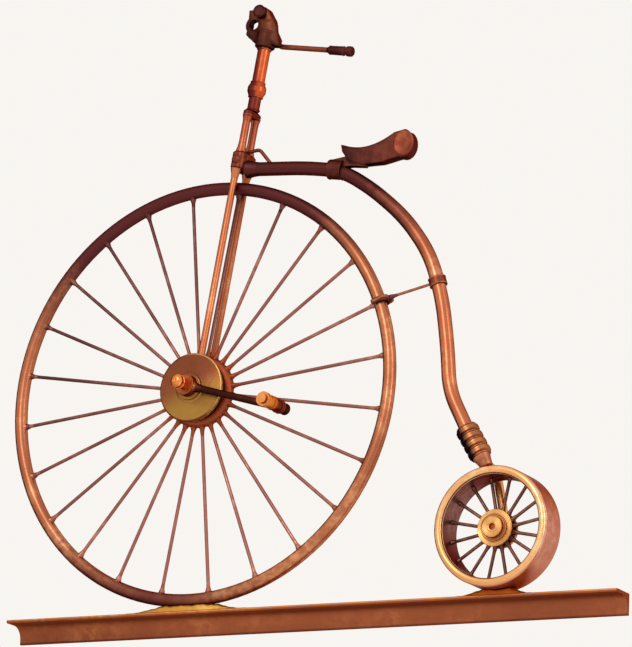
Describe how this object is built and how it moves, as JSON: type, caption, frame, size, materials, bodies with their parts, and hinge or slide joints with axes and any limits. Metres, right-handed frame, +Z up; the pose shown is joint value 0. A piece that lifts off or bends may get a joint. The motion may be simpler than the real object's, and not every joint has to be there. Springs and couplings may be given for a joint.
{
  "type": "penny farthing wall sculpture",
  "caption": "Copper and brass model of a penny farthing bicycle on a length of angle rail, made to hang on a wall; both wheels and the pedal turn.",
  "frame": {"origin": "centre of the rail's back face, which lies on the wall", "axes": "+X along the rail from the big wheel to the small one, +Y into the wall, +Z up"},
  "size_m": [0.6219, 0.089, 0.591],
  "materials": {
    "aged_copper": "aged copper tube, brown with orange where it is rubbed",
    "bronze": "turned bronze, brown patina",
    "brass": "worn yellow brass",
    "rail_copper": "rolled copper, brown patina",
    "dark_bronze": "dark brown patina"
  },
  "bodies": {
    "frame": {"rail": "rail_copper", "front_rest": "brass", "rear_rest": "brass", "fork_blade_near": "aged_copper", "fork_blade_far": "aged_copper", "head_lug": "bronze", "head_rod_near": "aged_copper", "head_rod_far": "aged_copper", "head_strap": "aged_copper", "head_neck": "bronze", "steering_column": "aged_copper", "handlebar_clamp": "bronze", "handlebar": "bronze", "grip_far": "dark_bronze", "grip_near": "dark_bronze", "backbone": "aged_copper", "saddle": "dark_bronze", "saddle_clamp": "bronze", "stay_wire": "aged_copper", "stay_collar": "bronze", "rear_sleeve": "dark_bronze", "rear_leg": "aged_copper", "rear_axle": "brass"},
    "front_wheel": {"front_rim": "aged_copper", "front_spokes": "aged_copper", "front_hub": "bronze", "hub_cap": "bronze", "front_axle": "bronze", "crank": "bronze", "pedal_pin": "bronze"},
    "near_pedal": {"pedal": "brass"},
    "rear_wheel": {"rear_ring": "brass", "rear_spokes": "brass", "rear_hub": "brass"}
  },
  "joints": [
    {"name": "front_wheel_turn", "type": "hinge", "parent": "frame", "child": "front_wheel", "pos_m": [-0.116, -0.021, 0.214], "axis": [0, 1, 0], "continuous": true},
    {"name": "rear_wheel_turn", "type": "hinge", "parent": "frame", "child": "rear_wheel", "pos_m": [0.191, -0.021, 0.0675], "axis": [0, 1, 0], "continuous": true},
    {"name": "pedal_turn", "type": "hinge", "parent": "front_wheel", "child": "near_pedal", "pos_m": [-0.01411, -0.068, 0.18478], "axis": [0, 1, 0], "continuous": true}
  ]
}
